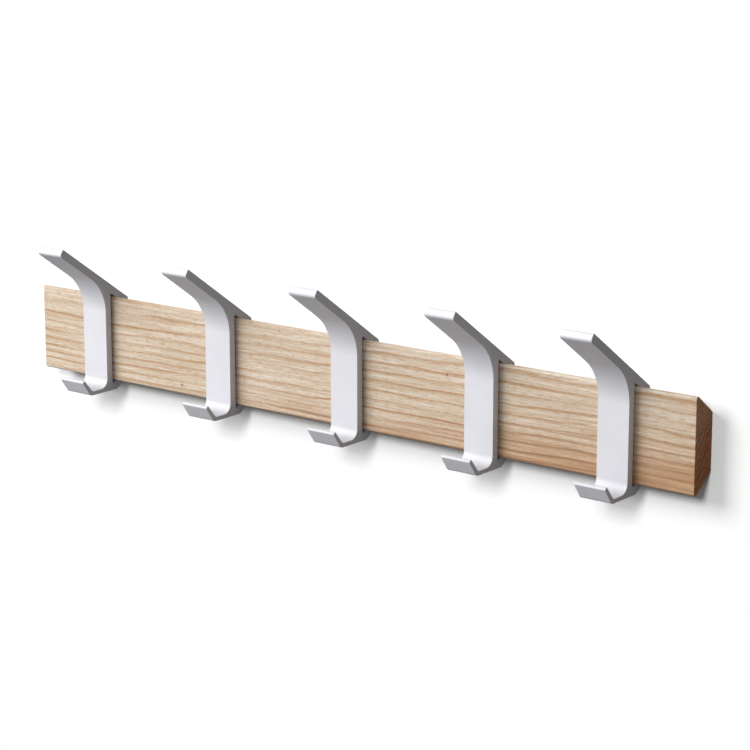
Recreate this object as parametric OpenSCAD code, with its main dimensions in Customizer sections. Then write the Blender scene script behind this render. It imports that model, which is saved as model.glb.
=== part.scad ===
// Wall coat rail: a bevelled ash rail with five aluminium hooks that slide along it.
// The origin is the middle of the rail's back face, on the wall.
// X runs along the rail, -Y faces the room and +Z is up. Millimetres.

/* [Rail] */
// Length of the rail
rail_l = 600; // [500:5:800]
// Height of the rail's front face, between its sharp edges
rail_h = 70; // [56:0.5:90]
// Thickness of the rail, from the wall to its front face
rail_t = 20; // [15:0.5:26]
// Slope of the bevels along the top and the bottom, from level
bevel_angle = 37; // [30:0.5:42]
// Rounding along the two front edges
front_edge_r = 2; // [0.5:0.25:3]
// Rounding along the two back edges
back_edge_r = 0.8; // [0.2:0.1:1.5]

/* [Wall screws] */
// Distance of each screw hole from its own end of the rail
end_margin = 60; // [40:1:90]
// Diameter of the clearance hole
screw_d = 5; // [4:0.5:6]
// Diameter of the recess for the screw's head
head_d = 10; // [8:0.5:13]
// How far the head lies below the front face
head_depth = 1; // [0.5:0.1:2]

/* [Hooks] */
// Width of a hook, along the rail
hook_w = 24.5; // [16:0.5:32]
// Thickness of the plate in front of the rail
plate_t = 5.8; // [4:0.1:7]
// Clearance between the plate and the rail's front face
front_gap = 1.2; // [0.8:0.1:1.6]
// Clearance between the lips and the rail's bevels, which they slide on
channel_gap = 0.5; // [0.3:0.1:0.8]
// Gap between the back of a hook and the wall
wall_gap = 2.5; // [1:0.5:4]
// Thickness of the lips that wrap round the bevels
lip_t = 5.8; // [4.5:0.1:8]
// Thickness of the arm that rises in front
arm_t = 6.2; // [4.5:0.1:8]
// Length of the arm, from the rail's top front edge to its tip
arm_l = 65; // [45:0.5:85]
// Slope of the arm, from level
arm_angle = 34.5; // [28:0.5:45]
// Radius of the curve between the arm and the plate
arm_r = 34; // [20:0.5:40]

/* [Lower trough] */
// How far the trough's floor lies below the rail's bottom edge, where it leaves the plate
floor_drop = 2.3; // [1:0.5:5]
// Slope of the floor, down towards the front
floor_tilt = 1; // [0:0.5:8]
// Thickness of the floor
floor_t = 3.2; // [2.5:0.1:5]
// Depth of the trough, from the plate to the foot of its lip
trough_w = 16.2; // [12:0.1:24]
// Height of the lip's tip above the foot of the lip
front_lip_h = 10; // [7:0.5:16]
// Slope of the lip's inner face, from level
front_lip_angle = 50.5; // [45:0.5:75]
// Difference in slope between the lip's two faces, which thins it towards the tip
front_lip_taper = 4; // [0:0.5:6]
// Thickness of the lip at its tip
front_lip_tip_t = 2.7; // [2:0.1:4]

/* [Places along the rail] */
// How far each hook has been slid to the right of its evenly spaced place
slide_1 = 3.5; // [-20:0.5:20]
slide_2 = 12; // [-20:0.5:20]
slide_3 = 13.5; // [-20:0.5:20]
slide_4 = 12.5; // [-20:0.5:20]
slide_5 = 1.5; // [-20:0.5:20]

/* [Hidden] */
$fn = 96;

slides = [slide_1, slide_2, slide_3, slide_4, slide_5];
hook_count = len(slides);
even_pitch = (rail_l - 2 * end_margin) / (hook_count - 1);

// Corner radii of the hook's outline
arm_tip_top_r = 1.2;
arm_tip_bottom_r = 2.4;
floor_r = 7;
trough_foot_r = 3;
front_lip_tip_r = 1.2;
toe_r = 5;
heel_r = 6;
rear_r = 0.6;
channel_r = 1;

// The planes of the plate, and where the hook ends short of the wall
plate_back = -rail_t - front_gap;
plate_front = plate_back - plate_t;
hook_back = -wall_gap;

// How far cuts run past the faces that they open
past = 1;
// How far the sector that trims a corner runs past it, as a scale
sector_reach = 1.3;
// How much larger an arc is than the circle that just touches its sides, so that it truly crosses them
arc_overrun = 0.001;

function unit(v) = v / norm(v);

// Where the line through p along a meets the line through q along b
function crossing(p, a, q, b) =
    p + a * ((q.x - p.x) * b.y - (q.y - p.y) * b.x) / (a.x * b.y - a.y * b.x);

// Outlines are drawn in [y, z], as seen from the rail's right end.
// Height of a line that slopes down towards the wall by this angle, a distance outside the rail's top edge
function slope_z(y, angle, outside) =
    rail_h / 2 - (rail_t + y) * tan(angle) + outside / cos(angle);

function bevel_z(y, outside) = slope_z(y, bevel_angle, outside);

// A corner is [point, radius]. Its arc touches both sides at the same distance from the point.
function corner_side(corners, i, step) =
    unit(corners[(i + step + len(corners)) % len(corners)][0] - corners[i][0]);

function corner_half_angle(corners, i) =
    acos(corner_side(corners, i, -1) * corner_side(corners, i, 1)) / 2;

function arc_centre(corners, i) =
    corners[i][0]
    + unit(corner_side(corners, i, -1) + corner_side(corners, i, 1))
    * corners[i][1] / sin(corner_half_angle(corners, i));

// Where the arc touches the side before (step -1) or after (step 1), or a share further out
function arc_end(corners, i, step, share = 1) =
    corners[i][0]
    + corner_side(corners, i, step) * share * corners[i][1] / tan(corner_half_angle(corners, i));

// True where an anticlockwise outline turns left, which is an outer corner
function is_outer(corners, i) =
    cross(corner_side(corners, i, 1), corner_side(corners, i, -1)) > 0;

// The sector from the arc's centre to past the sharp corner
module corner_sector(corners, i, share) {
    centre = arc_centre(corners, i);
    translate(centre)
        scale(sector_reach)
            polygon([
                [0, 0],
                arc_end(corners, i, -1, share) - centre,
                corners[i][0] - centre,
                arc_end(corners, i, 1, share) - centre,
            ]);
}

module corner_circle(corners, i) {
    translate(arc_centre(corners, i))
        circle(corners[i][1] + arc_overrun);
}

// An anticlockwise outline with every corner rounded.
// Inner corners are filled up to a straight line first, and their arcs are then cut out of the fill.
module rounded_outline(corners) {
    every = [0:len(corners) - 1];
    difference() {
        polygon([
            for (i = every)
                each is_outer(corners, i)
                    ? [corners[i][0]]
                    : [arc_end(corners, i, -1), arc_end(corners, i, 1)],
        ]);
        for (i = every)
            if (is_outer(corners, i))
                difference() {
                    corner_sector(corners, i, 1);
                    corner_circle(corners, i);
                }
            else
                intersection() {
                    corner_sector(corners, i, sector_reach);
                    corner_circle(corners, i);
                }
    }
}

// Stands a [y, z] outline up and runs it along the rail, centred on x
module run_along(x, length) {
    translate([x - length / 2, 0, 0])
        rotate([90, 0, 90])
            linear_extrude(length)
                children();
}

module rail_outline() {
    rounded_outline([
        [[0, bevel_z(0, 0)], back_edge_r],
        [[-rail_t, bevel_z(-rail_t, 0)], front_edge_r],
        [[-rail_t, -bevel_z(-rail_t, 0)], front_edge_r],
        [[0, -bevel_z(0, 0)], back_edge_r],
    ]);
}

// A through hole with a recess and a 90 degree countersink for a flat screw head
module screw_hole(x) {
    sink = (head_d - screw_d) / 2;
    translate([x, -rail_t, 0])
        rotate([-90, 0, 0]) {
            translate([0, 0, -past])
                cylinder(h = rail_t + 2 * past, d = screw_d);
            translate([0, 0, -past])
                cylinder(h = past + head_depth, d = head_d);
            translate([0, 0, head_depth])
                cylinder(h = sink, d1 = head_d, d2 = screw_d);
        }
}

module rail() {
    color("burlywood")
        difference() {
            run_along(0, rail_l)
                rail_outline();
            for (side = [-1, 1])
                screw_hole(side * (rail_l / 2 - end_margin));
        }
}

function hook_corners() =
    let (
        // the arm: its length runs from the rail's sharp top front edge
        up_arm = [-cos(arm_angle), sin(arm_angle)],
        over_arm = [sin(arm_angle), cos(arm_angle)],
        arm_top = channel_gap + lip_t,
        arm_under = arm_top - arm_t,
        arm_end = [-rail_t, rail_h / 2] + up_arm * arm_l,
        // the trough: along its floor towards the wall, and up its lip
        along_floor = [cos(floor_tilt), sin(floor_tilt)],
        floor_start = [plate_front, -rail_h / 2 - floor_drop],
        floor_under = floor_start - [0, floor_t / cos(floor_tilt)],
        foot = floor_start - along_floor * trough_w / cos(floor_tilt),
        up_lip = [-cos(front_lip_angle), sin(front_lip_angle)],
        tip_inside = foot + up_lip * front_lip_h / sin(front_lip_angle),
        tip_outside = tip_inside - [up_lip.y, -up_lip.x] * front_lip_tip_t,
        outer_lip_angle = front_lip_angle + front_lip_taper,
        down_outer_lip = [cos(outer_lip_angle), -sin(outer_lip_angle)],
        toe = crossing(tip_outside, down_outer_lip, floor_under, along_floor),
        // the lower lip: parallel to the bottom bevel
        up_bevel = [cos(bevel_angle), sin(bevel_angle)],
        under_lip = [-rail_t, -bevel_z(-rail_t, channel_gap + lip_t)],
        heel = crossing(floor_under, along_floor, under_lip, up_bevel)
    )
    [
        [[hook_back, slope_z(hook_back, arm_angle, arm_top)], rear_r],
        [arm_end + over_arm * arm_top, arm_tip_top_r],
        [arm_end + over_arm * arm_under, arm_tip_bottom_r],
        [[plate_front, slope_z(plate_front, arm_angle, arm_under)], arm_r],
        [floor_start, floor_r],
        [foot, trough_foot_r],
        [tip_inside, front_lip_tip_r],
        [tip_outside, front_lip_tip_r],
        [toe, toe_r],
        [heel, heel_r],
        [[hook_back, -bevel_z(hook_back, channel_gap + lip_t)], rear_r],
        [[hook_back, -bevel_z(hook_back, channel_gap)], rear_r],
        [[plate_back, -bevel_z(plate_back, channel_gap)], channel_r],
        [[plate_back, bevel_z(plate_back, channel_gap)], channel_r],
        [[hook_back, bevel_z(hook_back, channel_gap)], rear_r],
    ];

// One hook: a length of extrusion, in its place along the rail
module hook(i) {
    x = -rail_l / 2 + end_margin + i * even_pitch + slides[i];
    color("gainsboro")
        run_along(x, hook_w)
            rounded_outline(hook_corners());
}

rail();
hook(0);  // hook_1
hook(1);  // hook_2
hook(2);  // hook_3
hook(3);  // hook_4
hook(4);  // hook_5
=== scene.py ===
"""Wall coat rail: a bevelled ash rail with five satin aluminium hooks that slide along it.

The row frame: X runs along the rail, -Y faces the room, +Z is up, in metres.
The wall is the plane y = 0, and the origin is the middle of the rail's back face.
"""

import math

import bpy
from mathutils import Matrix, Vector

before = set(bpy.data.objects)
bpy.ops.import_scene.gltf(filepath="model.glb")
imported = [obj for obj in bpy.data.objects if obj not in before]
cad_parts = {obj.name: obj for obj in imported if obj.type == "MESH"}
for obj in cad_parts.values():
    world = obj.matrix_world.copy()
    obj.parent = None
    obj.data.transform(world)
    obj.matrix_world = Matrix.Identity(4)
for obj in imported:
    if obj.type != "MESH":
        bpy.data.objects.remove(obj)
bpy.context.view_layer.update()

MM = 0.001

# Camera, found by fitting the rail's and the hooks' outlines; its lens and sensor are in millimetres
SENSOR_WIDTH = 36.0
LENS = 115.896
CAMERA_AT = Vector((1.07962, -1.31371, 0.39497))
CAMERA_AZIMUTH = math.radians(38.887)
CAMERA_ELEVATION = math.radians(13.067)

# Roundings of the sharp edges
RAIL_EDGE = 0.5 * MM
HOOK_EDGE = 0.3 * MM

# Directions from the rail to the lights
KEY_DIRECTION = Vector((-0.85, -1.0, 0.65)).normalized()
SIDE_DIRECTION = Vector((-0.8, -1.0, 0.8)).normalized()
FRONT_DIRECTION = Vector((0.3, -1.0, 0.5)).normalized()
BACK_DIRECTION = Vector((-0.3, 1.0, 0.3)).normalized()
WORLD_DIRECTION = Vector((-0.45, -0.6, 0.66)).normalized()


# ---------- node helpers ----------

class Nodes:
    """A short way to write a node tree: each call adds a node and gives back its output."""

    def __init__(self, tree):
        self.tree = tree

    def add(self, kind, **settings):
        node = self.tree.nodes.new(kind)
        for name, value in settings.items():
            setattr(node, name, value)
        return node

    def put(self, socket, value):
        if isinstance(value, bpy.types.NodeSocket):
            self.tree.links.new(value, socket)
        elif value is not None:
            socket.default_value = value

    def math(self, operation, a, b=None, c=None):
        node = self.add("ShaderNodeMath", operation=operation)
        for socket, value in zip(node.inputs, (a, b, c)):
            self.put(socket, value)
        return node.outputs[0]

    def vector(self, operation, a, b):
        node = self.add("ShaderNodeVectorMath", operation=operation)
        self.put(node.inputs[0], a)
        self.put(node.inputs["Scale" if operation == "SCALE" else 1], b)
        return node.outputs["Value" if operation in ("DOT_PRODUCT", "DISTANCE") else "Vector"]

    def split(self, a):
        node = self.add("ShaderNodeSeparateXYZ")
        self.put(node.inputs[0], a)
        return node.outputs

    def join(self, x, y, z):
        node = self.add("ShaderNodeCombineXYZ")
        for socket, value in zip(node.inputs, (x, y, z)):
            self.put(socket, value)
        return node.outputs[0]

    def noise(self, at, stretch, detail=2.0, roughness=0.5):
        """Noise in 0 to 1 whose features are about stretch millimetres long each way."""
        node = self.add("ShaderNodeTexNoise")
        self.put(node.inputs["Vector"], self.vector("DIVIDE", at, stretch))
        self.put(node.inputs["Scale"], 1.0)
        self.put(node.inputs["Detail"], detail)
        self.put(node.inputs["Roughness"], roughness)
        return node.outputs["Fac"]

    def ramp(self, value, low, high, to_low=0.0, to_high=1.0):
        """Smoothly takes value from low..high to to_low..to_high, and holds it outside."""
        node = self.add("ShaderNodeMapRange", interpolation_type="SMOOTHSTEP")
        self.put(node.inputs["Value"], value)
        self.put(node.inputs["From Min"], low)
        self.put(node.inputs["From Max"], high)
        self.put(node.inputs["To Min"], to_low)
        self.put(node.inputs["To Max"], to_high)
        return node.outputs["Result"]

    def mix(self, factor, a, b, blend="MIX"):
        node = self.add("ShaderNodeMix", data_type="RGBA", blend_type=blend)
        self.put(node.inputs["Factor"], factor)
        self.put(node.inputs["A"], a)
        self.put(node.inputs["B"], b)
        return node.outputs["Result"]

    def bump(self, height, strength, distance):
        node = self.add("ShaderNodeBump")
        self.put(node.inputs["Height"], height)
        self.put(node.inputs["Strength"], strength)
        self.put(node.inputs["Distance"], distance)
        return node.outputs["Normal"]


def srgb(r, g, b):
    """An 8-bit display colour as a linear RGBA."""
    def linear(c):
        c /= 255
        return c / 12.92 if c <= 0.04045 else ((c + 0.055) / 1.055) ** 2.4
    return (linear(r), linear(g), linear(b), 1.0)


def new_material(name):
    """A material with an empty tree but for its Principled shader."""
    material = bpy.data.materials.new(name)
    material.use_nodes = True
    nodes = Nodes(material.node_tree)
    shader = material.node_tree.nodes["Principled BSDF"]
    return material, nodes, shader


# ---------- ash ----------

PALE_WOOD = srgb(208, 197, 181)
PALE_STREAK = srgb(188, 172, 151)
EARLY_WOOD = srgb(168, 131, 91)
BROWN_WOOD = srgb(182, 148, 116)
BROWN_STREAK = srgb(158, 120, 86)
BROWN_EARLY_WOOD = srgb(116, 76, 46)
FIBRE = srgb(166, 128, 90)
FLECK = srgb(156, 118, 82)
PORE = srgb(118, 82, 54)
KNOT = srgb(128, 74, 52)
END_TINT = srgb(255, 214, 190)

# Each pin knot on the front face: x, z and radius in millimetres
PIN_KNOTS = ((-151.6, -25.9, 1.6), (100.0, 18.5, 1.4))


def ash():
    """Ash cut near the quarter: growth rings round a pith that lies above and in front of the rail."""
    material, n, shader = new_material("ash")
    at = n.vector("SCALE", n.add("ShaderNodeTexCoord").outputs["Object"], 1 / MM)
    x, y, z = n.split(at)

    # Distance from the pith, which drifts a little along the rail, in rings that wander and ripple
    pith_y = -79.0
    pith_z = 58.0
    pith_drift = 0.012
    wander_size = 9.0
    ripple_size = 1.6
    wander = n.noise(at, (170, 40, 40), detail=3)
    ripple = n.noise(at, (38, 14, 14), detail=2)
    from_pith_y = n.math("SUBTRACT", y, pith_y)
    from_pith_z = n.math("SUBTRACT", z, n.math("MULTIPLY_ADD", x, pith_drift, pith_z))
    squares = n.math("ADD", n.math("POWER", from_pith_y, 2), n.math("POWER", from_pith_z, 2))
    distance = n.math("SQRT", squares)
    distance = n.math("MULTIPLY_ADD", wander, wander_size, distance)
    distance = n.math("MULTIPLY_ADD", ripple, ripple_size, distance)

    # Each ring: porous early wood that starts sharply, then denser late wood
    ring_width = 4.5
    phase = n.math("FRACT", n.math("DIVIDE", distance, ring_width))
    early = n.math("MULTIPLY", n.ramp(phase, 0.0, 0.08), n.ramp(phase, 0.10, 0.48, 1.0, 0.0))
    strength = n.noise(at, (120, 9, 9), detail=2)
    early = n.math("MULTIPLY", early, n.ramp(strength, 0.3, 0.7, 0.3, 1.0))

    # Fibres and pores run along the rail
    fibre = n.noise(at, (26, 0.7, 0.7), detail=3, roughness=0.6)
    streak = n.noise(at, (90, 2.2, 2.2), detail=4)
    fleck = n.noise(at, (7, 0.8, 0.8), detail=3, roughness=0.7)
    pore_noise = n.noise(at, (5, 0.35, 0.35), detail=1)
    pore = n.ramp(pore_noise, 0.56, 0.66)
    pore = n.math("MULTIPLY", pore, n.math("MULTIPLY_ADD", early, 0.75, 0.25))

    # The wood turns brown away from the pith, sooner towards the right end, with a streaky border
    brown_from = 108
    brown_to = 142
    brown_drift = 0.06
    brown_border = 26.0
    brown = n.math("MULTIPLY_ADD", x, brown_drift, distance)
    brown = n.math("MULTIPLY_ADD", streak, brown_border, brown)
    brown = n.ramp(brown, brown_from, brown_to)
    pale_part = n.mix(n.ramp(streak, 0.3, 0.7), PALE_WOOD, PALE_STREAK)
    brown_part = n.mix(n.ramp(streak, 0.35, 0.65), BROWN_WOOD, BROWN_STREAK)
    colour = n.mix(brown, pale_part, brown_part)
    colour = n.mix(early, colour, n.mix(brown, EARLY_WOOD, BROWN_EARLY_WOOD))
    colour = n.mix(n.ramp(fibre, 0.42, 0.66, 0.0, 0.42), colour, FIBRE)
    colour = n.mix(n.ramp(fleck, 0.48, 0.64, 0.0, 0.48), colour, FLECK)
    colour = n.mix(n.math("MULTIPLY", pore, 0.6), colour, PORE)
    for knot_x, knot_z, knot_r in PIN_KNOTS:
        across = n.vector("DISTANCE", n.join(x, 0.0, z), (knot_x, 0.0, knot_z))
        colour = n.mix(n.ramp(across, 0.3 * knot_r, knot_r, 0.75, 0.0), colour, KNOT)

    # The ends soak up more lacquer and are darker and redder
    normal = n.split(n.add("ShaderNodeTexCoord").outputs["Normal"])
    end = n.ramp(n.math("ABSOLUTE", normal[0]), 0.55, 0.85)
    colour = n.mix(end, colour, n.mix(1.0, colour, END_TINT, blend="MULTIPLY"))

    n.put(shader.inputs["Base Color"], colour)
    n.put(shader.inputs["Roughness"], n.ramp(fibre, 0.2, 0.8, 0.50, 0.66))
    shader.inputs["Specular IOR Level"].default_value = 0.35
    height = n.math("SUBTRACT", n.math("MULTIPLY", fibre, 0.5), pore)
    n.put(shader.inputs["Normal"], n.bump(height, 0.35, 0.15 * MM))
    return material


# ---------- satin aluminium ----------

METAL = srgb(204, 203, 208)
METAL_CLOUD = srgb(200, 200, 205)
METAL_TOOTH = srgb(184, 184, 188)


def satin_aluminium():
    """Bead-blasted and anodised: an even fine tooth, with faint drawing lines along the extrusion."""
    material, n, shader = new_material("satin_aluminium")
    at = n.vector("SCALE", n.add("ShaderNodeTexCoord").outputs["Object"], 1 / MM)
    tooth = n.noise(at, (0.35, 0.35, 0.35), detail=2)
    cloud = n.noise(at, (22, 22, 22), detail=3)
    drawn = n.noise(at, (60, 0.5, 0.5), detail=2)
    colour = n.mix(n.ramp(cloud, 0.3, 0.7), METAL, METAL_CLOUD)
    colour = n.mix(n.ramp(tooth, 0.35, 0.7, 0.0, 0.10), colour, METAL_TOOTH)
    n.put(shader.inputs["Base Color"], colour)
    shader.inputs["Metallic"].default_value = 0.2
    shader.inputs["Specular IOR Level"].default_value = 0.25
    roughness = n.math("MULTIPLY_ADD", tooth, 0.04, n.ramp(cloud, 0.3, 0.7, 0.56, 0.62))
    n.put(shader.inputs["Roughness"], roughness)
    height = n.math("ADD", tooth, n.math("MULTIPLY", drawn, 0.5))
    n.put(shader.inputs["Normal"], n.bump(height, 0.12, 0.03 * MM))
    return material


def soften(piece, width):
    """Rounds the piece's sharp edges and shades it smoothly."""
    weld = piece.modifiers.new("weld", "WELD")
    weld.merge_threshold = 0.005 * MM
    flats = piece.modifiers.new("flats", "DECIMATE")
    flats.decimate_type = "DISSOLVE"
    flats.angle_limit = math.radians(0.2)
    edges = piece.modifiers.new("edges", "BEVEL")
    edges.width = width
    edges.segments = 3
    edges.limit_method = "ANGLE"
    edges.angle_limit = math.radians(40)
    edges.harden_normals = False
    normals = piece.modifiers.new("normals", "WEIGHTED_NORMAL")
    normals.weight = 100
    normals.keep_sharp = False


wood = ash()
metal = satin_aluminium()
for name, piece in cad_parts.items():
    piece.data.materials.clear()
    piece.data.materials.append(wood if name == "rail" else metal)
    soften(piece, RAIL_EDGE if name == "rail" else HOOK_EDGE)


# ---------- wall, floor and light ----------

def plane(name, corners, material):
    """A flat four-cornered piece of the stage."""
    mesh = bpy.data.meshes.new(name)
    mesh.from_pydata(corners, [], [range(4)])
    mesh.materials.append(material)
    piece = bpy.data.objects.new(name, mesh)
    bpy.context.scene.collection.objects.link(piece)
    return piece


def white_paint():
    """Matt paint that shows only its front, so that the wall never hides the rail from behind.

    It is grey, so that the world adds little to it, and the wall's own lights bring it up to white.
    """
    material, n, shader = new_material("white_paint")
    shader.inputs["Base Color"].default_value = (0.35, 0.35, 0.35, 1.0)
    shader.inputs["Roughness"].default_value = 1.0
    shader.inputs["Specular IOR Level"].default_value = 0.0
    clear = n.add("ShaderNodeBsdfTransparent")
    mixed = n.add("ShaderNodeMixShader")
    n.put(mixed.inputs[0], n.add("ShaderNodeNewGeometry").outputs["Backfacing"])
    n.put(mixed.inputs[1], shader.outputs[0])
    n.put(mixed.inputs[2], clear.outputs[0])
    out = material.node_tree.nodes["Material Output"]
    n.put(out.inputs["Surface"], mixed.outputs[0])
    return material


# The wall stands just clear of the rail's back face, and the stage reaches this far each way
WALL_Y = 0.4 * MM
FLOOR_Z = -1.3
STAGE = 3.0
paint = white_paint()


def wall_part(name, low, high):
    """The full width of the wall between two heights."""
    return plane(name, [(-STAGE, WALL_Y, low), (STAGE, WALL_Y, low),
                        (STAGE, WALL_Y, high), (-STAGE, WALL_Y, high)], paint)


# The two parts of the wall meet behind the rail, so that each can have its own shadows
wall_below = wall_part("wall_below", FLOOR_Z, 0.0)
wall_above = wall_part("wall_above", 0.0, STAGE)
floor = plane("floor", [(-STAGE, -STAGE, FLOOR_Z), (STAGE, -STAGE, FLOOR_Z),
                        (STAGE, STAGE, FLOOR_Z), (-STAGE, STAGE, FLOOR_Z)], paint)
for piece in (wall_below, wall_above, floor):
    piece.visible_diffuse = False
    piece.visible_glossy = False
    piece.visible_shadow = False


def collection_of(name, members):
    collection = bpy.data.collections.new(name)
    for piece in members:
        collection.objects.link(piece)
    return collection


def area_light(name, direction, distance, size, watts, lit, blocking):
    """A square light that looks at the origin, and lights and is blocked by only those pieces."""
    light = bpy.data.lights.new(name, "AREA")
    light.shape = "SQUARE"
    light.size = size
    light.energy = watts
    piece = bpy.data.objects.new(name, light)
    piece.location = direction * distance
    piece.rotation_euler = direction.to_track_quat("Z", "Y").to_euler()
    bpy.context.scene.collection.objects.link(piece)
    piece.light_linking.receiver_collection = collection_of(name + "_lit", lit)
    piece.light_linking.blocker_collection = collection_of(name + "_blocking", blocking)


def studio_world():
    """Soft light that is strongest from the left, front and top, and a plain white background."""
    world = bpy.data.worlds.new("studio")
    bpy.context.scene.world = world
    world.use_nodes = True
    n = Nodes(world.node_tree)
    background = world.node_tree.nodes["Background"]
    direction = n.add("ShaderNodeTexCoord").outputs["Generated"]
    towards = n.vector("DOT_PRODUCT", direction, tuple(WORLD_DIRECTION))
    dimmest = 0.08
    brightest = 0.72
    level = n.ramp(towards, -0.7, 0.9, dimmest, brightest)
    camera_ray = n.add("ShaderNodeLightPath").outputs["Is Camera Ray"]
    strength = n.add("ShaderNodeMix", data_type="FLOAT")
    n.put(strength.inputs[0], camera_ray)
    n.put(strength.inputs[2], level)
    n.put(strength.inputs[3], 1.0)
    n.put(background.inputs["Strength"], strength.outputs[0])
    background.inputs["Color"].default_value = (1.0, 1.0, 1.0, 1.0)


studio_world()
pieces = list(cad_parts.values())
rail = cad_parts["rail"]
area_light("key", KEY_DIRECTION, 3.5, size=3.4, watts=178, lit=pieces, blocking=pieces)
area_light("back_fill", BACK_DIRECTION, 3.0, size=2.0, watts=60, lit=pieces, blocking=pieces)

# The far lights for the wall. The side light draws the rail's shadow, below it and at its right end.
# The front light, which is in two halves, adds the hooks' shadows below; above the rail they cast none.
FAR = 6.0
FRONT_SIZE = 1.6
FRONT_WATTS = 490
low_stage = [wall_below, floor]
high_stage = [wall_above]
whole_stage = low_stage + high_stage
area_light("wall_side", SIDE_DIRECTION, FAR, size=3.2, watts=800, lit=whole_stage, blocking=[rail])
area_light("wall_front_below", FRONT_DIRECTION, FAR, FRONT_SIZE, FRONT_WATTS, low_stage, pieces)
area_light("wall_front_above", FRONT_DIRECTION, FAR, FRONT_SIZE, FRONT_WATTS, high_stage, [rail])

scene = bpy.context.scene
scene.view_settings.view_transform = "Standard"
scene.view_settings.look = "None"

camera_data = bpy.data.cameras.new("camera")
camera_data.sensor_width = SENSOR_WIDTH
camera_data.lens = LENS
camera_data.clip_start = 0.05
camera_data.clip_end = 20.0
camera = bpy.data.objects.new("camera", camera_data)
camera.location = CAMERA_AT
camera.rotation_euler = (math.pi / 2 - CAMERA_ELEVATION, 0.0, CAMERA_AZIMUTH)
scene.collection.objects.link(camera)
scene.camera = camera
